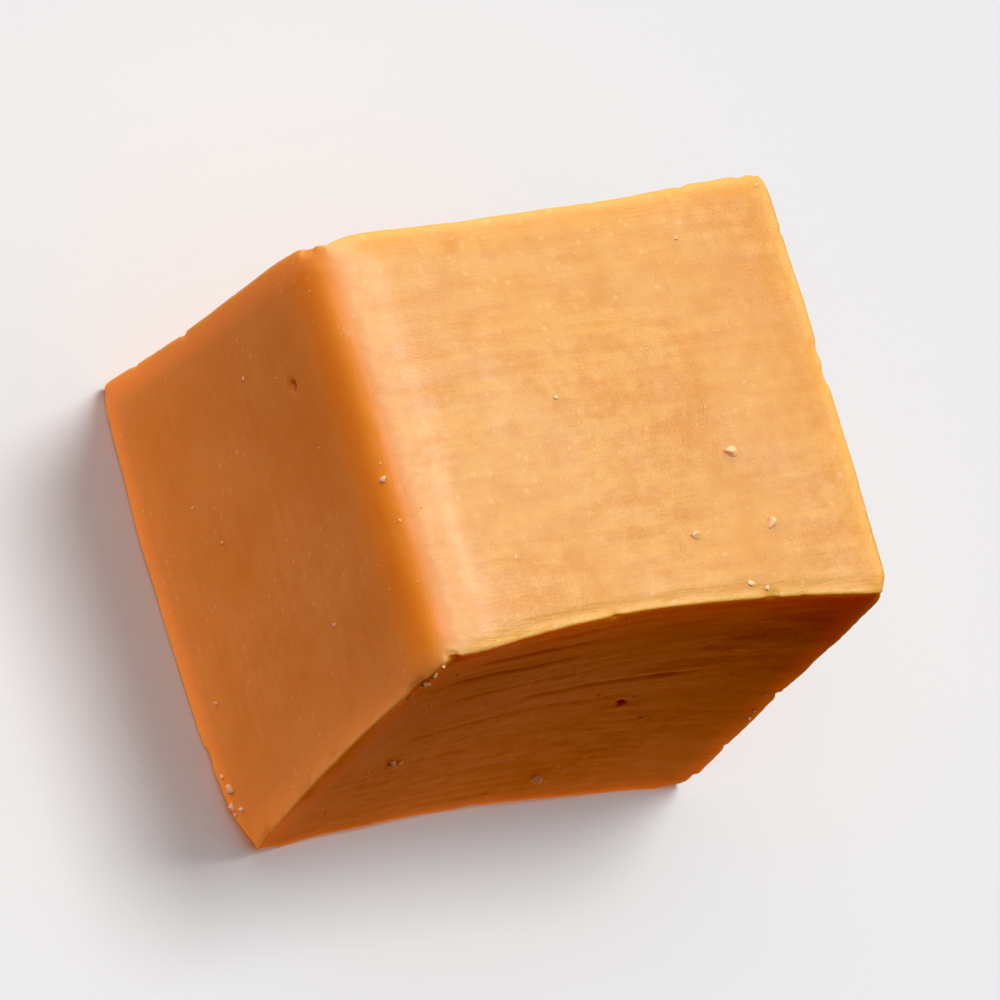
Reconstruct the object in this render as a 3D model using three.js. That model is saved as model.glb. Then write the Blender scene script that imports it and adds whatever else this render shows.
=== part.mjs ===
import * as THREE from 'three'
import { mergeVertices } from 'three/addons/utils/BufferGeometryUtils.js'

// One soft caramel, a small block cut from a slab by hand. Millimetres, +Z up.
// The origin is at the middle of the underside, -Y is the front and -X the left.

// Size between opposite faces, measured at half height.
const width = 21.6
const depth = 20.2
const height = 21.7

// How each upright face was cut, in degrees. lean tips the face in towards its top, and turn
// swings it about the vertical. hollow is how deep its middle is dished (minus is swollen), and
// foot is how far the soft face has sagged outwards along its bottom edge, both in millimetres.
const leftFace = { heading: 180, reach: width / 2, lean: -0.2, turn: 0.3, hollow: 0.15, foot: 0.6 }
const rightFace = { heading: 0, reach: width / 2, lean: 0.8, turn: -0.3, hollow: -0.1, foot: 0.3 }
const frontFace = { heading: 270, reach: depth / 2, lean: 3.3, turn: -0.4, hollow: 0.95, foot: 0.1 }
const backFace = { heading: 90, reach: depth / 2, lean: 3.8, turn: 0.1, hollow: 0.3, foot: 0.3 }

// The top face slopes a little, in degrees down towards +X and +Y, and is slightly crowned.
const topSlopeX = 0.3
const topSlopeY = -0.1
const topCrown = 0.15

// How much of a dish is left where it runs out over the top and bottom edges.
const dishAtEnds = 0.8

// How far from an edge its rounding begins. The top left edge is worn round, the rest are crisp.
const wornEdge = 2.8
const rightEdges = 1.1
const backEdges = 0.9
const frontEdges = 0.7
const bottomEdges = 0.6

// The chip off the bottom front left corner, as its length along each of the three edges.
const chip = new THREE.Vector3(1.2, 2.0, 1.6)
const chipEdges = 0.5

// The mesh: squares along each edge of the block, and how strongly they crowd towards the edges.
const squares = 22
const crowding = 0.75

// Steps of halving that settle each point on the surface, and how near zero counts as the table.
const halvings = 40
const tableTolerance = 1e-6

const radians = THREE.MathUtils.degToRad
const middle = new THREE.Vector3(0, 0, height / 2)

// The flat plane of an upright face, before any dish or sag.
function uprightPlane (face) {
  const heading = radians(face.heading)
  const swing = heading + radians(face.turn)
  const lean = radians(face.lean)
  const normal = new THREE.Vector3(Math.cos(swing), Math.sin(swing), Math.tan(lean)).normalize()
  const onFace = new THREE.Vector3(Math.cos(heading), Math.sin(heading), 0)
  onFace.multiplyScalar(face.reach).add(middle)
  return new THREE.Plane().setFromNormalAndCoplanarPoint(normal, onFace)
}

function topPlane () {
  const slopeX = Math.tan(radians(topSlopeX))
  const slopeY = Math.tan(radians(topSlopeY))
  const normal = new THREE.Vector3(slopeX, slopeY, 1).normalize()
  return new THREE.Plane().setFromNormalAndCoplanarPoint(normal, new THREE.Vector3(0, 0, height))
}

const left = uprightPlane(leftFace)
const right = uprightPlane(rightFace)
const front = uprightPlane(frontFace)
const back = uprightPlane(backFace)
const top = topPlane()
const bottom = new THREE.Plane(new THREE.Vector3(0, 0, -1), 0)

// The point where three planes meet.
function meeting (a, b, c) {
  const crossBC = new THREE.Vector3().crossVectors(b.normal, c.normal)
  const crossCA = new THREE.Vector3().crossVectors(c.normal, a.normal)
  const crossAB = new THREE.Vector3().crossVectors(a.normal, b.normal)
  const volume = a.normal.dot(crossBC)
  const point = crossBC.multiplyScalar(-a.constant)
  point.addScaledVector(crossCA, -b.constant)
  point.addScaledVector(crossAB, -c.constant)
  return point.divideScalar(volume)
}

// The eight sharp corners of the block as cut, listed front to back and left to right.
function cornersOf (level) {
  return [[front, left], [front, right], [back, left], [back, right]]
    .map(([frontOrBack, side]) => meeting(frontOrBack, side, level))
}
const lowCorners = cornersOf(bottom)
const highCorners = cornersOf(top)

// The chip is one more cut, across the bottom front left corner.
function chipPlane () {
  const corner = lowCorners[0]
  const normal = new THREE.Vector3(-1 / chip.x, -1 / chip.y, -1 / chip.z).normalize()
  const onCut = corner.clone().add(new THREE.Vector3(chip.x, 0, 0))
  return new THREE.Plane().setFromNormalAndCoplanarPoint(normal, onCut)
}
const chipped = chipPlane()

// 1 at the middle of a face, falling to 0 at its edges.
function swell (across) {
  return 1 - Math.min(across * across, 1)
}

// How far a point is outside an upright face, with the face's dish and sag taken in.
function pastFace (face, plane, point, across) {
  const rise = THREE.MathUtils.clamp((point.z - middle.z) / middle.z, -1, 1)
  const dish = face.hollow * swell(across) * THREE.MathUtils.lerp(dishAtEnds, 1, swell(rise))
  const sag = face.foot * swell(across) * ((1 - rise) / 2) ** 2
  return plane.distanceToPoint(point) + dish - sag
}

// The larger of two distances, eased where they are close, which rounds the edge between two
// faces. It changes nothing where the two differ by more than the reach of the rounding.
function rounded (a, b, reach) {
  const closeness = Math.max(reach - Math.abs(a - b), 0) / reach
  return Math.max(a, b) + closeness * closeness * reach / 4
}

// Below zero inside the caramel, zero on its surface.
function outside (point) {
  const acrossX = point.x / (width / 2)
  const acrossY = point.y / (depth / 2)
  const crown = topCrown * swell(acrossX) * swell(acrossY)
  let past = top.distanceToPoint(point) - crown
  past = rounded(past, pastFace(leftFace, left, point, acrossY), wornEdge)
  past = rounded(past, pastFace(rightFace, right, point, acrossY), rightEdges)
  past = rounded(past, pastFace(backFace, back, point, acrossX), backEdges)
  past = rounded(past, pastFace(frontFace, front, point, acrossX), frontEdges)
  past = rounded(past, chipped.distanceToPoint(point), chipEdges)
  return rounded(past, bottom.distanceToPoint(point), bottomEdges)
}

// A place on the sharp block, from three coordinates that each run from -1 to 1.
function onBlock (place) {
  const toRight = (place.x + 1) / 2
  const toBack = (place.y + 1) / 2
  const toTop = (place.z + 1) / 2
  const level = ([frontLeft, frontRight, backLeft, backRight]) => {
    const frontPoint = frontLeft.clone().lerp(frontRight, toRight)
    const backPoint = backLeft.clone().lerp(backRight, toRight)
    return frontPoint.lerp(backPoint, toBack)
  }
  return level(lowCorners).lerp(level(highCorners), toTop)
}

// The surface point on the line from the middle of the block out through a given point.
function onSurface (target) {
  const point = new THREE.Vector3()
  let near = 0
  let far = 1.2
  for (let step = 0; step < halvings; step += 1) {
    const half = (near + far) / 2
    point.lerpVectors(middle, target, half)
    if (outside(point) < 0) near = half
    else far = half
  }
  if (Math.abs(point.z) < tableTolerance) point.z = 0
  return point
}

// Crowds the mesh lines towards both ends of the run from -1 to 1, where the edges are.
function crowded (place) {
  return THREE.MathUtils.lerp(place, Math.sin(place * Math.PI / 2), crowding)
}

function caramelShape () {
  const cube = new THREE.BoxGeometry(2, 2, 2, squares, squares, squares)
  cube.deleteAttribute('normal')
  cube.deleteAttribute('uv')
  const shape = mergeVertices(cube)
  const places = shape.attributes.position
  const place = new THREE.Vector3()
  for (let index = 0; index < places.count; index += 1) {
    place.fromBufferAttribute(places, index)
    place.set(crowded(place.x), crowded(place.y), crowded(place.z))
    const point = onSurface(onBlock(place))
    places.setXYZ(index, point.x, point.y, point.z)
  }
  shape.computeBoundingBox()
  const centre = shape.boundingBox.getCenter(new THREE.Vector3())
  shape.translate(-centre.x, -centre.y, 0)
  shape.computeVertexNormals()
  return shape
}

const caramelColour = new THREE.MeshStandardMaterial({ color: 0xd08a44, roughness: 0.5, metalness: 0 })

const caramel = new THREE.Mesh(caramelShape(), caramelColour)
caramel.name = 'caramel'

const part = new THREE.Group()
part.add(caramel)

export default part
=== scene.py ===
import math
from itertools import combinations

import bmesh
import bpy
import numpy as np
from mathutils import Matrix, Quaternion, Vector, noise
from mathutils.bvhtree import BVHTree


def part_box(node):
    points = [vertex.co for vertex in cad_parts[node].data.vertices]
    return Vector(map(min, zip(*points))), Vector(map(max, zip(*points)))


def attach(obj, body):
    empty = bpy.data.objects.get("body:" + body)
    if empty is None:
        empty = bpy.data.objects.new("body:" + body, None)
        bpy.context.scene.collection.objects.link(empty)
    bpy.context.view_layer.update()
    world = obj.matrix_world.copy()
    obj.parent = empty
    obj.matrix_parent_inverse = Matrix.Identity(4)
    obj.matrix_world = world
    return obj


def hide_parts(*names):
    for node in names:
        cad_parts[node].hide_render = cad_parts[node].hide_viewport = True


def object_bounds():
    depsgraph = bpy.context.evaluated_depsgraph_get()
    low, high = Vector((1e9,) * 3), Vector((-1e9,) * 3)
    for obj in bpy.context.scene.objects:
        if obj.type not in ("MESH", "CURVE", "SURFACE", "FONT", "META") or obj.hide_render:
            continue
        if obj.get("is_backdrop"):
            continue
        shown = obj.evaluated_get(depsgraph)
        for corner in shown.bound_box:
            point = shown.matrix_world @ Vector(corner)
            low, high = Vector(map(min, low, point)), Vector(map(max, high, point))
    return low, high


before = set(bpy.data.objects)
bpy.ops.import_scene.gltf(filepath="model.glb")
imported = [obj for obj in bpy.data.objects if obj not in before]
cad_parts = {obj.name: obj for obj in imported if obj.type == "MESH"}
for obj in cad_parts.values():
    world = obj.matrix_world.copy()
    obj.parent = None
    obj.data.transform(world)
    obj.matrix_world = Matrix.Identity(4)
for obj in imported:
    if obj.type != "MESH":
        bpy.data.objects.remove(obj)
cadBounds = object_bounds()

mm = 0.001  # one millimetre in Blender's metres. Sizes below are in millimetres.

low, high = (np.array(corner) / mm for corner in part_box("caramel"))
middle = (low + high) / 2
halfSize = (high - low) / 2

faces = ["left", "right", "front", "back", "bottom", "top"]
outward = dict(zip(faces, np.array([
    (-1, 0, 0), (1, 0, 0), (0, -1, 0), (0, 1, 0), (0, 0, -1), (0, 0, 1)], float)))


# shader building: Wire does the sums, Finish makes the nodes

class Wire:
    # a node's output socket, which adds Math nodes when it is used in a sum
    def __init__(self, finish, socket):
        self.finish = finish
        self.socket = socket

    def maths(self, operation, *values):
        return self.finish.node("ShaderNodeMath", {"operation": operation}, dict(enumerate(values)))

    def __add__(self, other):
        return self.maths("ADD", self, other)

    def __sub__(self, other):
        return self.maths("SUBTRACT", self, other)

    def __rsub__(self, other):
        return self.maths("SUBTRACT", other, self)

    def __mul__(self, other):
        return self.maths("MULTIPLY", self, other)

    __radd__ = __add__
    __rmul__ = __mul__


class Finish:
    # a material, with one method that makes any node in it
    def __init__(self, name):
        self.material = bpy.data.materials.new(name)
        self.material.use_nodes = True
        self.tree = self.material.node_tree
        self.tree.nodes.clear()

    def node(self, kind, settings=None, sockets=None, out=None):
        made = self.tree.nodes.new(kind)
        for name, value in (settings or {}).items():
            if name == "stops":
                self.setStops(made.color_ramp, value)
            else:
                setattr(made, name, value)
        for name, value in (sockets or {}).items():
            socket = self.inputOf(made, name)
            if isinstance(value, Wire):
                self.tree.links.new(value.socket, socket)
            else:
                socket.default_value = value
        inUse = [socket for socket in made.outputs if socket.enabled and out in (None, socket.name)]
        return Wire(self, inUse[0]) if inUse else None

    def inputOf(self, made, name):
        # a Mix node holds several sockets of one name, of which one is in use
        if isinstance(name, int):
            return made.inputs[name]
        return next(socket for socket in made.inputs if socket.name == name and socket.enabled)

    def setStops(self, ramp, stops):
        while len(ramp.elements) < len(stops):
            ramp.elements.new(1)
        for element, (place, value) in zip(ramp.elements, stops):
            element.position = place
            element.color = (value, value, value, 1)

    def blend(self, factor, first, second):
        return self.node("ShaderNodeMix", {"data_type": "RGBA"},
                         {"Factor": factor, "A": first, "B": second})

    def steps(self, value, *stops):
        return self.node("ShaderNodeValToRGB", {"stops": stops}, {"Fac": value})

    def places(self):
        # where each point of the surface is, in millimetres
        return self.node("ShaderNodeVectorMath", {"operation": "SCALE"}, {
            "Vector": self.node("ShaderNodeTexCoord", out="Object"), "Scale": 1 / mm})

    def cloud(self, where, width, detail=2, roughness=0.5):
        # noise with spots about as wide as width, averaging a half
        return self.node("ShaderNodeTexNoise", None, {
            "Vector": where, "Scale": 1 / width, "Detail": detail, "Roughness": roughness})

    def painted(self, name):
        return self.node("ShaderNodeAttribute", {"attribute_name": name}, out="Fac")

    def paintedVector(self, name):
        return self.node("ShaderNodeAttribute", {"attribute_name": name}, out="Vector")


# mesh helpers

def cubeLattice(rows):
    # whole-number places on the surface of a cube, and the squares between them, facing outwards
    step = np.arange(rows)
    first, second = (a.ravel() for a in np.meshgrid(step, step, indexing="ij"))
    squares = []
    for axis in range(3):
        for end in (0, rows):
            turn = [(0, 0), (1, 0), (1, 1), (0, 1)]
            if end == 0:
                turn.reverse()
            corners = np.zeros((rows * rows, 4, 3), int)
            for number, (a, b) in enumerate(turn):
                corners[:, number, axis] = end
                corners[:, number, (axis + 1) % 3] = first + a
                corners[:, number, (axis + 2) % 3] = second + b
            squares.append(corners)
    every = np.concatenate(squares).reshape(-1, 3)
    places, number = np.unique(every, axis=0, return_inverse=True)
    return places, number.reshape(-1, 4)


def smoothTree(node, levels):
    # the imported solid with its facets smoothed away, ready for rays
    shape = bmesh.new()
    shape.from_mesh(node.data)
    bmesh.ops.remove_doubles(shape, verts=shape.verts, dist=0.001 * mm)
    bmesh.ops.join_triangles(shape, faces=shape.faces,
                             angle_face_threshold=math.pi, angle_shape_threshold=math.pi)
    mesh = bpy.data.meshes.new("smoothSolid")
    shape.to_mesh(mesh)
    shape.free()
    solid = bpy.data.objects.new("smoothSolid", mesh)
    bpy.context.scene.collection.objects.link(solid)
    solid.modifiers.new("smooth", "SUBSURF").levels = levels
    tree = BVHTree.FromObject(solid, bpy.context.evaluated_depsgraph_get())
    bpy.data.objects.remove(solid)
    bpy.data.meshes.remove(mesh)
    return tree


def castOut(tree, targets):
    # where the line from the block's middle through each target leaves the surface
    start = Vector(middle * mm)
    found = []
    for direction in (targets - middle).tolist():
        hit = tree.ray_cast(start, Vector(direction).normalized())[0]
        found.append(hit)
    return np.array(found) / mm


def makeMesh(name, points, polygons):
    mesh = bpy.data.meshes.new(name)
    mesh.from_pydata((points * mm).tolist(), [], polygons.tolist())
    mesh.shade_smooth()
    return mesh


def normalsOf(points, polygons):
    mesh = makeMesh("normals", points, polygons)
    normals = np.zeros(len(points) * 3)
    mesh.vertex_normals.foreach_get("vector", normals)
    bpy.data.meshes.remove(mesh)
    return normals.reshape(-1, 3)


def bumps(points, width, seed):
    # smooth noise between about -1 and 1, with features about as wide as width
    places = points / width + seed * 17.31
    return np.array([noise.noise(place) for place in places.tolist()])


def eased(value, start, end):
    share = np.clip((value - start) / (end - start), 0, 1)
    return share * share * (3 - 2 * share)


def bell(distance, width):
    return np.exp(-(distance / width) ** 2)


def paint(mesh, name, values):
    kind = "FLOAT_VECTOR" if values.ndim == 2 else "FLOAT"
    field = "vector" if values.ndim == 2 else "value"
    attribute = mesh.attributes.new(name, kind, "POINT")
    attribute.data.foreach_set(field, values.astype(np.float32).ravel())


def addPiece(name, mesh, finish):
    piece = bpy.data.objects.new(name, mesh)
    bpy.context.scene.collection.objects.link(piece)
    mesh.materials.append(finish)
    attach(piece, "root")
    return piece


# the caramel block

block = {
    "rows": 128,  # squares along each edge of the mesh
    "crowding": 0.55,  # how far they crowd towards the block's edges, from 0 to 1
    "smoothing": 2,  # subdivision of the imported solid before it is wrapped
    "swells": [(8.0, 0.16), (3.2, 0.05), (1.5, 0.016)],  # how wide and how high each size of swell is
    "patches": 6.0,  # how wide the patches of stronger and weaker marks are
    "wrinkles": (0.75, 0.075),  # width of the little pillows between wrinkles, and their height
    "knifeLines": (0.5, 0.016),  # spacing and height of the fine lines left by the knife
    "lineStretch": 0.12,  # a small share makes long lines
    "crisp": 0.8,  # how much of the rounding along the cut edges is undone
    "lip": (0.12, 0.12, 0.035),  # burr along the edges: how far in, how wide and how high it is
    "nick": (0.9, 0.13),  # small bites out of the edges: how long and how deep
    "holeRadius": (0.17, 0.32),  # smallest and largest pinhole
    "holeRow": ("back", 8),  # a face with a row of pinholes beside one edge, and how many
    "rowRadius": (0.14, 0.26),  # smallest and largest of those
    "dragWidth": (0.12, 0.18),  # the deep marks, at their narrowest and widest
    "dragDepth": (0.03, 0.075),
    "darkHole": 0.2,  # the depth at which the painted shade in a pinhole is darkest
    "darkDrag": 0.06,  # and in a deep mark
    "seed": 5,
}

# How each face was made. The knife ran along one axis of the block, x as 0 and y as 1, and drags is
# how many deep marks it left. rounding is how far in from the face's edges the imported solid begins
# to round off. At each edge the later face's value holds, and with 0 the edge is left as it is.
cuts = {
    "top": {"along": 0, "rounding": 0, "lines": 1.5, "wrinkles": 0.35, "drags": 0, "pinholes": 0},
    "left": {"along": 1, "rounding": 0, "lines": 0.3, "wrinkles": 0.5, "drags": 0, "pinholes": 1},
    "right": {"along": 1, "rounding": 1.1, "lines": 1.3, "wrinkles": 0.5, "drags": 8, "pinholes": 2},
    "back": {"along": 0, "rounding": 0.9, "lines": 0.6, "wrinkles": 0.8, "drags": 1, "pinholes": 17},
    "front": {"along": 0, "rounding": 0.7, "lines": 2.4, "wrinkles": 0.7, "drags": 5, "pinholes": 1},
    "bottom": {"along": 0, "rounding": 0.6, "lines": 0.5, "wrinkles": 0.9, "drags": 1, "pinholes": 6},
}


def acrossOf(name):
    # the two axes that a face spreads along
    return [axis for axis in range(3) if abs(outward[name][axis]) < 0.5]


def blockCorners():
    # the block's own eight corners, the node's vertices that lie furthest out towards each
    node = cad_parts["caramel"]
    points = np.array([vertex.co for vertex in node.data.vertices]) / mm - middle
    corners = np.zeros((2, 2, 2, 3))
    for corner in np.ndindex(2, 2, 2):
        towards = (np.array(corner) * 2 - 1) / halfSize
        corners[corner] = points[np.argmax(points @ towards)] + middle
    return corners


def spread(cube, corners, bends=()):
    # places in a cube from -1 to 1, carried over to the block between its corners and bowed edges
    share = (cube + 1) / 2
    points = np.zeros_like(share)
    for corner in np.ndindex(2, 2, 2):
        weight = np.prod(np.where(corner, share, 1 - share), axis=1)
        points += weight[:, None] * corners[corner]
    for one, other, run, bow, skew in bends:
        weight = (1 + cube @ one) * (1 + cube @ other) / 4
        along = cube[:, run]
        points += (weight * (1 - along ** 2) * (bow + skew * along))[:, None] * (one - other)
    return points


def blockEdges():
    # the pairs of faces that meet, with the later one in cuts second
    for first, second in combinations(cuts, 2):
        if outward[first] @ outward[second] == 0:
            yield first, second


def edgeBends(tree, corners):
    # how the block's real edges bow away from the straight lines between its corners
    bends = []
    runs = np.linspace(-0.8, 0.8, 9)
    slides = np.linspace(-1.5, 1.5, 61)[:, None]
    for first, second in blockEdges():
        one, other = outward[first], outward[second]
        run = int(np.argmin(np.abs(one + other)))
        offsets = []
        for along in runs:
            place = one + other
            place[run] = along
            found = castOut(tree, spread(place[None], corners) + slides * (one - other))
            offsets.append(slides[np.argmax(found @ (one + other)), 0])
        curves = np.stack([1 - runs ** 2, (1 - runs ** 2) * runs], axis=1)
        bow, skew = np.linalg.lstsq(curves, np.array(offsets), rcond=None)[0]
        bends.append((one, other, run, bow, skew))
    return bends


def pinholes(chance):
    # the middle and radius of each small hole, where a bubble in the slab was cut through
    places, radii = [], []
    for name, cut in cuts.items():
        for _ in range(cut["pinholes"]):
            place = outward[name].copy()
            place[acrossOf(name)] = chance.uniform(-0.82, 0.82, 2)
            places.append(place)
            radii.append(chance.uniform(*block["holeRadius"]))
    name, count = block["holeRow"]
    for step in range(count):
        place = outward[name].copy()
        place[acrossOf(name)] = (-0.84 + chance.normal(0, 0.02),
                                 (step + 0.5 + chance.normal(0, 0.15)) / count * 1.6 - 0.8)
        places.append(place)
        radii.append(chance.uniform(*block["rowRadius"]))
    return np.array(places), np.array(radii)


def drawnIn(targets, places, radii):
    # moves mesh points in towards each pinhole, so that the hole comes out round
    for place, radius in zip(places, radii):
        off = targets - place
        distance = np.linalg.norm(off, axis=1)
        pull = 0.3 + 0.7 * eased(distance, 0, 3 * radius)
        targets = place + off * pull[:, None]
    return targets


def pinholeDepth(points, places, radii):
    depth = np.zeros(len(points))
    for place, radius in zip(places, radii):
        distance = np.linalg.norm(points - place, axis=1)
        depth = np.maximum(depth, 0.9 * radius * (1 - eased(distance, 0.3 * radius, 1.15 * radius)))
    return depth


def faceShares(normals):
    # how far each point belongs to each face, easing over the rounded edges
    shares = {name: np.clip(normals @ outward[name], 0, 1) ** 6 for name in faces}
    total = sum(shares.values())
    return {name: share / total for name, share in shares.items()}


def dragMarks(points, name, chance):
    # creases that the knife dragged across one face, each with a step and a raised lip beside it
    along = cuts[name]["along"]
    side = next(axis for axis in acrossOf(name) if axis != along)
    reach = points[:, along] - middle[along]
    across = points[:, side] - middle[side]
    marks = np.zeros(len(points))
    for _ in range(cuts[name]["drags"]):
        place = chance.uniform(-0.8, 0.8) * halfSize[side]
        slant = chance.normal(0, 0.03)
        bend = chance.normal(0, 0.0015)
        start = chance.uniform(-1.1, 0.1) * halfSize[along]
        length = chance.uniform(0.7, 1.7) * halfSize[along]
        width = chance.uniform(*block["dragWidth"])
        depth = chance.uniform(*block["dragDepth"])
        waver = 0.12 * bumps(points[:, [along]] * (1, 0, 0), 2.5, place)
        off = across - place - slant * reach - bend * reach ** 2 - waver
        shown = eased(reach, start, start + 1.5) * (1 - eased(reach, start + length - 3, start + length))
        step = 0.35 * bell(off, 8 * width) * (off > 0)
        marks -= depth * shown * (bell(off, width) + step - 0.4 * bell(off - 1.9 * width, width))
    return marks


def cutEdges(cube):
    # how far each point is from the nearest edge that the knife left sharp, and how far out the
    # surface is drawn to undo the rounding there, with a little more at the edge itself
    nearest = np.full(len(cube), halfSize.min())
    drawn = np.zeros(len(cube))
    for first, second in blockEdges():
        reach = cuts[second]["rounding"]
        if reach:
            inward = 1 - np.minimum(cube @ outward[first], cube @ outward[second])
            distance = inward * halfSize.min()
            near = np.clip(1 - distance / reach, 0, 1)
            nearest = np.minimum(nearest, distance)
            drawn = np.maximum(drawn, reach / 4 * near ** 2 * (1 + 0.4 * near ** 4))
    return nearest, block["crisp"] * drawn


def edgeRelief(points, edge):
    # the burr and the small bites along the sharp edges
    inset, width, size = block["lip"]
    ragged = eased(bumps(points, 1.6, 31), -0.3, 0.5) * (0.6 + 0.4 * bumps(points, 0.35, 32))
    length, depth = block["nick"]
    bites = eased(bumps(points, length, 33), 0.25, 0.62)
    return size * ragged * bell(edge - inset, width) - depth * bites * bell(edge, 0.3)


def makeBlock():
    rows = block["rows"]
    chance = np.random.default_rng(block["seed"])
    lattice, squares = cubeLattice(rows)
    even = lattice / rows * 2 - 1
    cube = even + block["crowding"] * (np.sin(even * math.pi / 2) - even)
    corners = blockCorners()
    tree = smoothTree(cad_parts["caramel"], block["smoothing"])
    bends = edgeBends(tree, corners)
    places, radii = pinholes(chance)
    holes = spread(places, corners, bends)
    points = castOut(tree, drawnIn(spread(cube, corners, bends), holes, radii))
    normals = normalsOf(points, squares)
    print("block wrapped:", len(points), "points")

    shares = faceShares(normals)
    edge, drawn = cutEdges(cube)
    # from 0 to 1, the worn edge between left and top, the band along it that faces the light, where a
    # speckled highlight is painted, and the upper part of the sides, where a glow is painted for light
    # from the top that comes through
    worn = eased(np.minimum(-cube[:, 0], cube[:, 2]), 0.78, 0.92)
    rubbed = bell(normals[:, 0] + 0.48, 0.30) * eased(normals[:, 2], 0.35, 0.85)
    glow = eased(cube[:, 2], 0.52, 0.97) * (1 - shares["top"])
    patch = 0.4 + 0.6 * eased(bumps(points, block["patches"], 11), -0.25, 0.3)
    pillow, pillowHeight = block["wrinkles"]
    wrinkles = pillowHeight * np.minimum(np.abs(bumps(points, pillow, 12)), 0.25)
    spacing, lineHeight = block["knifeLines"]

    height = edgeRelief(points, edge) + drawn
    for number, (width, size) in enumerate(block["swells"]):
        height += size * bumps(points, width, number + 1)
    drags = np.zeros(len(points))
    lined = np.zeros(len(points))
    grain = np.zeros_like(points)
    for name, cut in cuts.items():
        share = shares[name]
        stretch = np.ones(3)
        stretch[cut["along"]] = block["lineStretch"]
        lines = lineHeight * bumps(points * stretch, spacing, 21 + faces.index(name))
        height += share * patch * (cut["lines"] * lines + cut["wrinkles"] * wrinkles)
        lined += share * patch * cut["lines"]
        drags += share * dragMarks(points, name, chance)
        grain = np.where((share >= 0.4)[:, None], points * stretch, grain)
    depth = pinholeDepth(points, castOut(tree, holes), radii)
    height += drags - depth
    height = np.where(shares["bottom"] > 0.5, np.minimum(height, 0), height)
    points = points + normals * height[:, None]
    points[:, 2] = np.maximum(points[:, 2], 0)
    print("marks pressed in")

    mesh = makeMesh("caramelBlock", points, squares)
    paint(mesh, "edge", edge * (1 + 1.5 * shares["top"]))  # a thinner band of painted rim light on top
    # painted shade in the pinholes and deep marks, by how deep they are
    paint(mesh, "hole", np.clip(depth / block["darkHole"], 0, 1))
    paint(mesh, "drag", np.clip(-drags / block["darkDrag"], 0, 1))
    paint(mesh, "worn", worn)
    paint(mesh, "rubbed", rubbed)
    paint(mesh, "glow", glow)
    paint(mesh, "lined", lined)
    paint(mesh, "grain", grain)
    piece = addPiece("caramelBlock", mesh, caramelFinish())
    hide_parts("caramel")
    return piece


# the caramel's colours, linear as the shader takes them
caramelColours = {
    "pale": (0.75, 0.442, 0.106, 1),
    "deep": (0.69, 0.352, 0.064, 1),
    "edge": (0.82, 0.480, 0.110, 1),  # painted glow a few millimetres in from the edges, for light that comes through there
    "glow": (0.99, 0.470, 0.050, 1),  # painted glow below the top edges, where light comes through
    "rimLight": (1.0, 0.540, 0.120, 1),  # painted light caught on the thin edge itself
    "milky": (0.98, 0.700, 0.360, 1),  # flecks, and the painted highlight along the worn edge
    # painted shade in the pinholes and deep marks
    "hole": (0.40, 0.120, 0.020, 1),
}

# how strongly each colour is laid over the ones before it, from 0 to 1
caramelCover = {
    "edge": 0.8, "glow": 0.9, "rimLight": 0.9, "flecks": 0.4, "paintedHighlight": 0.6, "hole": 0.85, "drag": 0.3,
}

# how wide each kind of spot and grain is, in millimetres
caramelSpots = {
    "clouds": 5, "mottle": 0.9, "speckle": 0.45, "flecks": 2 / 3,
    "dimples": 0.42, "grit": 0.13, "streaks": 0.11,
}


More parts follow.
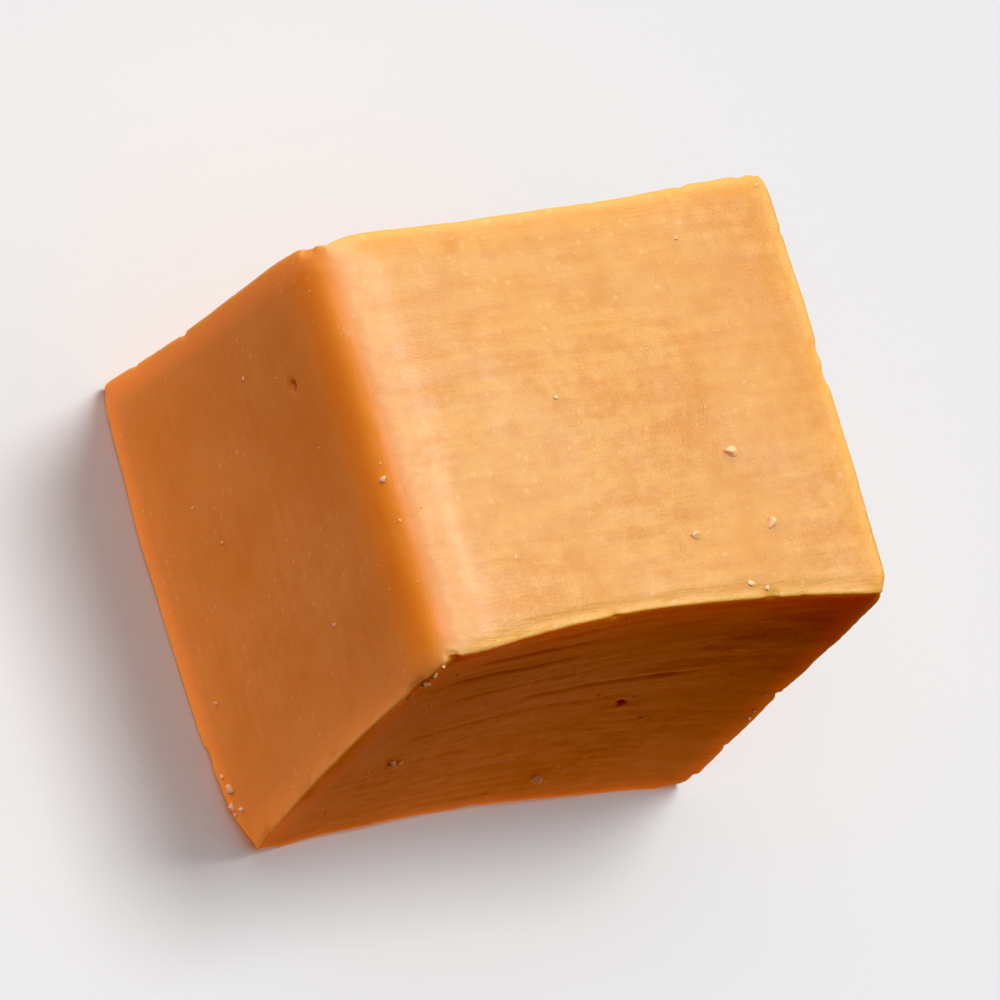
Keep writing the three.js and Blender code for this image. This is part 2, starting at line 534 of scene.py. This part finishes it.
def caramelFinish():
    finish = Finish("softCaramel")
    where = finish.places()
    grain = finish.paintedVector("grain")  # places drawn out along the knife's path
    edge = finish.painted("edge")
    hole = finish.painted("hole")
    lined = finish.painted("lined")
    worn = finish.painted("worn")
    clouds = finish.cloud(where, caramelSpots["clouds"], detail=2)
    mottle = finish.cloud(where, caramelSpots["mottle"], detail=1)
    grit = finish.cloud(where, caramelSpots["grit"], detail=1, roughness=0.6)
    dimples = finish.cloud(where, caramelSpots["dimples"], detail=0)
    streaks = finish.cloud(grain, caramelSpots["streaks"], detail=1, roughness=0.6)

    # cloudy and speckled, most of all where the knife left lines
    speckle = mottle * 0.6 + finish.cloud(grain, caramelSpots["speckle"], detail=2) * 0.6 - 0.6
    tone = finish.steps(clouds * 0.5 + speckle * (0.2 + lined * 0.7) + 0.25, (0.37, 0), (0.63, 1))
    colour = finish.blend(tone, caramelColours["deep"], caramelColours["pale"])

    # painted light: a richer glow towards the edges, an amber glow below the top and golden light caught
    # on the rims
    edgeGlow = finish.steps((edge + clouds * 1.6 - 0.8) * 0.25, (0.0, 1), (0.3, 0.5), (0.85, 0))
    colour = finish.blend(edgeGlow * caramelCover["edge"], colour, caramelColours["edge"])
    glow = finish.painted("glow")
    colour = finish.blend(glow * caramelCover["glow"], colour, caramelColours["glow"])
    rimLight = finish.steps((edge + mottle * 0.3 - 0.15) * 0.5, (0.05, 1), (0.25, 0.7), (0.7, 0))
    colour = finish.blend(rimLight * caramelCover["rimLight"], colour, caramelColours["rimLight"])

    # pale flecks, a painted highlight along the worn edge, and painted shade in the holes and creases
    cells = finish.node("ShaderNodeTexVoronoi", None, {
        "Vector": where, "Scale": 1 / caramelSpots["flecks"]})
    flecks = finish.steps(cells, (0.08, 1), (0.22, 0)) * finish.steps(clouds, (0.42, 0), (0.6, 1))
    colour = finish.blend(flecks * caramelCover["flecks"], colour, caramelColours["milky"])
    paintedHighlight = finish.painted("rubbed") * finish.steps(grit * 0.5 + dimples * 0.5, (0.3, 0.6), (0.65, 1))
    colour = finish.blend(paintedHighlight * caramelCover["paintedHighlight"], colour, caramelColours["milky"])
    shade = hole * caramelCover["hole"] + finish.painted("drag") * caramelCover["drag"]
    colour = finish.blend(shade, colour, caramelColours["hole"])

    relief = (grit * 0.6 + dimples * 0.6 + streaks * 0.7) * (0.4 + lined * 0.5) * (1 - worn * 0.5)
    normal = finish.node("ShaderNodeBump", None, {
        "Strength": 1.0, "Distance": 0.028 * mm, "Height": relief})
    roughness = 0.34 + clouds * 0.16 + grit * 0.1 + hole * 0.2 - worn * 0.05

    shader = finish.node("ShaderNodeBsdfPrincipled", {"subsurface_method": "RANDOM_WALK"}, {
        "Base Color": colour,
        "Roughness": roughness,
        "Normal": normal,
        "IOR": 1.46,
        "Subsurface Weight": 0.6,
        "Subsurface Radius": (1.0, 0.6, 0.35),
        "Subsurface Scale": 1.6 * mm,
        "Coat Weight": 0.15,
        "Coat Roughness": 0.28,
    })
    finish.node("ShaderNodeOutputMaterial", None, {"Surface": shader})
    return finish.material


# crumbs that cling to the block

crumbs = {
    "size": (0.12, 0.30),  # smallest and largest of the scattered ones
    "scattered": {"top": 9, "front": 12, "left": 8, "back": 18, "right": 26},
    "dust": {"top": 40, "front": 40, "left": 30, "back": 50, "right": 50},
    "dustSize": (0.05, 0.11),
    "edgewards": 0.6,  # the share of them that gather along the edges
    "chips": 7,  # flat sides on each crumb
    "sunk": 0.36,  # how far each is pressed in, as a share of its size
    "flattened": 0.2,  # how much of its height is lost as it is pressed on
    "above": 0.02,  # the lowest that one may reach, just above the floor
    "colours": ((1.0, 0.64, 0.28, 1), (1.0, 0.82, 0.52, 1)),
    "seed": 23,
}

# the crumbs that show best, as the face, the place on it from the block's middle, and the size
placedCrumbs = [
    ("top", (5.0, -2.6), 0.52), ("top", (2.3, -5.9), 0.50), ("top", (6.0, -5.9), 0.48),
    ("top", (4.2, -8.3), 0.34), ("top", (4.9, -8.6), 0.26),
    ("left", (-1.1, 9.6), 0.36), ("left", (-7.9, -9.9), 0.55), ("left", (-8.5, -10.3), 0.42),
    ("left", (-8.9, -9.6), 0.30), ("left", (-7.2, -10.2), 0.24),
    ("front", (-7.1, -2.7), 0.46), ("front", (2.5, -8.3), 0.50), ("front", (-6.6, -2.9), 0.26),
    ("front", (-10.2, 7.6), 0.42), ("front", (-10.3, 8.6), 0.34), ("front", (-10.4, 6.3), 0.25),
    ("right", (2.6, 3.4), 0.55), ("right", (3.1, 2.8), 0.62), ("right", (2.2, 2.5), 0.38),
    ("right", (3.3, 1.9), 0.30), ("right", (1.5, 3.0), 0.42), ("right", (-2.9, 0.4), 0.44),
]


def crumbShape(size, chance, detail):
    # a little ball, chipped flat on several sides and roughened
    shape = bmesh.new()
    bmesh.ops.create_icosphere(shape, subdivisions=detail, radius=1)
    points = np.array([vertex.co for vertex in shape.verts])
    polygons = np.array([[vertex.index for vertex in face.verts] for face in shape.faces])
    shape.free()
    for _ in range(crumbs["chips"]):
        side = chance.normal(size=3)
        side /= np.linalg.norm(side)
        past = np.maximum(points @ side - chance.uniform(0.45, 0.85), 0)
        points = points - 0.92 * past[:, None] * side
    points *= 1 + 0.3 * bumps(points, 0.7, chance.uniform(0, 50))[:, None]
    return points * chance.uniform(0.7, 1.25, 3) * size / 2, polygons


def scatterPlaces(chance, counts, sizes):
    for name, count in counts.items():
        for _ in range(count):
            place = chance.uniform(-0.93, 0.93, 2)
            if chance.random() < crumbs["edgewards"]:
                gathered = chance.integers(2)
                place[gathered] = np.sign(place[gathered]) * chance.uniform(0.88, 0.97)
            yield name, place * halfSize[acrossOf(name)], chance.uniform(*sizes)


def makeCrumbs(blockPiece):
    chance = np.random.default_rng(crumbs["seed"])
    tree = BVHTree.FromObject(blockPiece, bpy.context.evaluated_depsgraph_get())
    wanted = [*placedCrumbs,
              *scatterPlaces(chance, crumbs["scattered"], crumbs["size"]),
              *scatterPlaces(chance, crumbs["dust"], crumbs["dustSize"])]
    points, polygons, count = [], [], 0
    for name, place, size in wanted:
        start = middle + outward[name] * halfSize * 2
        start[acrossOf(name)] = middle[acrossOf(name)] + place
        hit, normal = tree.ray_cast(Vector(start * mm), Vector(-outward[name]))[:2]
        if hit is None:
            continue
        shape, triangles = crumbShape(size, chance, 3 if size > 0.2 else 2)
        turn = Quaternion(chance.normal(size=4)).normalized().to_matrix()
        normal = np.array(normal)
        shape = shape @ np.array(turn).T
        shape -= crumbs["flattened"] * (shape @ normal)[:, None] * normal
        shape += np.array(hit) / mm + normal * size * (0.5 - crumbs["sunk"]) * 0.6
        shape[:, 2] = np.maximum(shape[:, 2], crumbs["above"])
        points.append(shape)
        polygons.append(triangles + count)
        count += len(shape)
    mesh = makeMesh("caramelCrumbs", np.concatenate(points), np.concatenate(polygons))
    print("crumbs made:", len(points), "with", len(mesh.polygons), "triangles")
    return addPiece("caramelCrumbs", mesh, crumbFinish())


def crumbFinish():
    finish = Finish("caramelCrumb")
    where = finish.places()
    tone = finish.cloud(where, 0.4, detail=2)
    colour = finish.blend(tone, *crumbs["colours"])
    rough = finish.cloud(where, 0.08, detail=3)
    normal = finish.node("ShaderNodeBump", None, {
        "Strength": 1.0, "Distance": 0.012 * mm, "Height": rough})
    shader = finish.node("ShaderNodeBsdfPrincipled", {"subsurface_method": "RANDOM_WALK"}, {
        "Base Color": colour,
        "Roughness": 0.4 + rough * 0.2,
        "Normal": normal,
        "Subsurface Weight": 0.4,
        "Subsurface Radius": (1.0, 0.6, 0.35),
        "Subsurface Scale": 0.1 * mm,
    })
    finish.node("ShaderNodeOutputMaterial", None, {"Surface": shader})
    return finish.material


# floor, lights and camera

studio = {
    # half the width and the height of each square ring of the floor. It is just clear of the block's
    # flat underside, and a low bank far off fills the top of low views.
    "floorRings": [(900, -0.03), (1200, 12), (20000, 12)],
    "floorColour": (0.74, 0.75, 0.765, 1),
    "skyColour": (1, 0.8, 0.65),
    "skyStrength": 0.03,
    "blackLevel": 0.013,  # deepens the shade, as a photograph does
}

# Each light shines on the block from its own side. lit names the pieces that it lights, and None is
# all of them.
lights = {
    "keyLight": {"towards": (0.26, 0.145, 0.95), "size": 800, "power": 42,
                 "colour": (1, 0.985, 0.96), "lit": None},
    "cornerLight": {"towards": (-0.28, 0.20, 0.92), "size": 1500, "power": 13,
                    "colour": (1, 0.97, 0.92), "lit": "sweet"},
    "leftBounce": {"towards": (-0.80, 0.50, 0.34), "size": 1000, "power": 34,
                   "colour": (1, 0.46, 0.60), "lit": "sweet"},
    "frontBounce": {"towards": (0.80, -0.55, 0.12), "size": 1000, "power": 15.5,
                    "colour": (1, 0.10, 0.02), "lit": "sweet"},
    "rightBounce": {"towards": (0.85, 0.50, 0.16), "size": 1200, "power": 14,
                    "colour": (1, 0.60, 0.42), "lit": "sweet"},
    "backBounce": {"towards": (0.05, 0.92, 0.38), "size": 1200, "power": 20,
                   "colour": (1, 0.66, 0.46), "lit": "sweet"},
}
lightDistance = 2500

# the pale floor's bounce of light, from a lamp close under the sweet that lights nothing else
underLight = {"size": 54, "depth": 5, "power": 0.0050, "colour": (1, 0.39, 0.14)}

# even light over the whole floor
floorSun = {"strength": 1.5, "spread": 70, "colour": (0.97, 0.99, 1)}

lens = {
    "azimuth": -63.2,
    "elevation": 57.5,
    "roll": 50.2,
    "distance": 650,
    "width": 42,  # how much of the scene the picture takes in at that distance
}


def makeFloor():
    square = np.array([(-1, -1, 0), (1, -1, 0), (1, 1, 0), (-1, 1, 0)])
    corners = np.concatenate([square * half + (0, 0, level) for half, level in studio["floorRings"]])
    quads = [(0, 1, 2, 3)]
    for inner in range(0, len(corners) - 4, 4):
        for side, after in ((0, 1), (1, 2), (2, 3), (3, 0)):
            quads.append((inner + 4 + side, inner + 4 + after, inner + after, inner + side))
    mesh = makeMesh("studioFloor", corners, np.array(quads))
    finish = Finish("paleFloor")
    shader = finish.node("ShaderNodeBsdfDiffuse", None, {"Color": studio["floorColour"]})
    finish.node("ShaderNodeOutputMaterial", None, {"Surface": shader})
    floor = bpy.data.objects.new("studioFloor", mesh)
    bpy.context.scene.collection.objects.link(floor)
    mesh.materials.append(finish.material)
    # a bare pale floor would wash out the shaded sides, so the under light stands for its bounce
    floor.visible_diffuse = False
    floor.visible_glossy = False
    floor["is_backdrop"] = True
    return floor


def addLamp(name, light, power, colour, lit):
    light.energy = power
    light.color = colour
    lamp = bpy.data.objects.new(name, light)
    bpy.context.scene.collection.objects.link(lamp)
    if lit:
        lamp.light_linking.receiver_collection = lit
    return lamp


def roundLight(name, size):
    light = bpy.data.lights.new(name, "AREA")
    light.shape = "DISK"
    light.size = size * mm
    return light


def makeLights(sweetPieces, floor):
    groups = {"sweet": sweetPieces, "floor": [floor]}
    receivers = {None: None}
    for name, pieces in groups.items():
        receivers[name] = bpy.data.collections.new(name)
        for piece in pieces:
            receivers[name].objects.link(piece)
    for name, light in lights.items():
        lamp = addLamp(name, roundLight(name, light["size"]), light["power"], light["colour"],
                       receivers[light["lit"]])
        direction = Vector(light["towards"]).normalized()
        lamp.location = Vector(middle * mm) + direction * lightDistance * mm
        lamp.rotation_euler = direction.to_track_quat("Z", "Y").to_euler()

    lamp = addLamp("underLight", roundLight("underLight", underLight["size"]), underLight["power"],
                   underLight["colour"], receivers["sweet"])
    lamp.light_linking.blocker_collection = receivers["sweet"]
    lamp.location.z = -underLight["depth"] * mm
    lamp.rotation_euler.x = math.pi

    sun = bpy.data.lights.new("floorSun", "SUN")
    sun.angle = math.radians(floorSun["spread"])
    addLamp("floorSun", sun, floorSun["strength"], floorSun["colour"], receivers["floor"])

    world = bpy.data.worlds.new("studioWorld")
    world.use_nodes = True
    background = world.node_tree.nodes["Background"]
    background.inputs["Color"].default_value = (*studio["skyColour"], 1)
    background.inputs["Strength"].default_value = studio["skyStrength"]
    bpy.context.scene.world = world
    settings = bpy.context.scene.view_settings
    settings.view_transform = "Standard"
    settings.use_curve_mapping = True
    settings.curve_mapping.black_level = [studio["blackLevel"]] * 3
    settings.curve_mapping.update()


def makeCamera():
    azimuth, elevation = math.radians(lens["azimuth"]), math.radians(lens["elevation"])
    back = Vector((math.sin(azimuth) * math.cos(elevation),
                   -math.cos(azimuth) * math.cos(elevation), math.sin(elevation)))
    camera = bpy.data.objects.new("camera", bpy.data.cameras.new("camera"))
    bpy.context.scene.collection.objects.link(camera)
    camera.location = Vector(middle * mm) + back * lens["distance"] * mm
    turn = back.to_track_quat("Z", "Y") @ Quaternion((0, 0, 1), math.radians(lens["roll"]))
    camera.rotation_euler = turn.to_euler()
    camera.data.lens = camera.data.sensor_width * lens["distance"] / lens["width"]
    bpy.context.scene.camera = camera


blockPiece = makeBlock()
crumbPiece = makeCrumbs(blockPiece)
floorPiece = makeFloor()
makeLights([blockPiece, crumbPiece], floorPiece)
makeCamera()
print("studio made")

bounds = {"cad": cadBounds, "visual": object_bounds()}
{name: [list(corner) for corner in pair] for name, pair in bounds.items()}
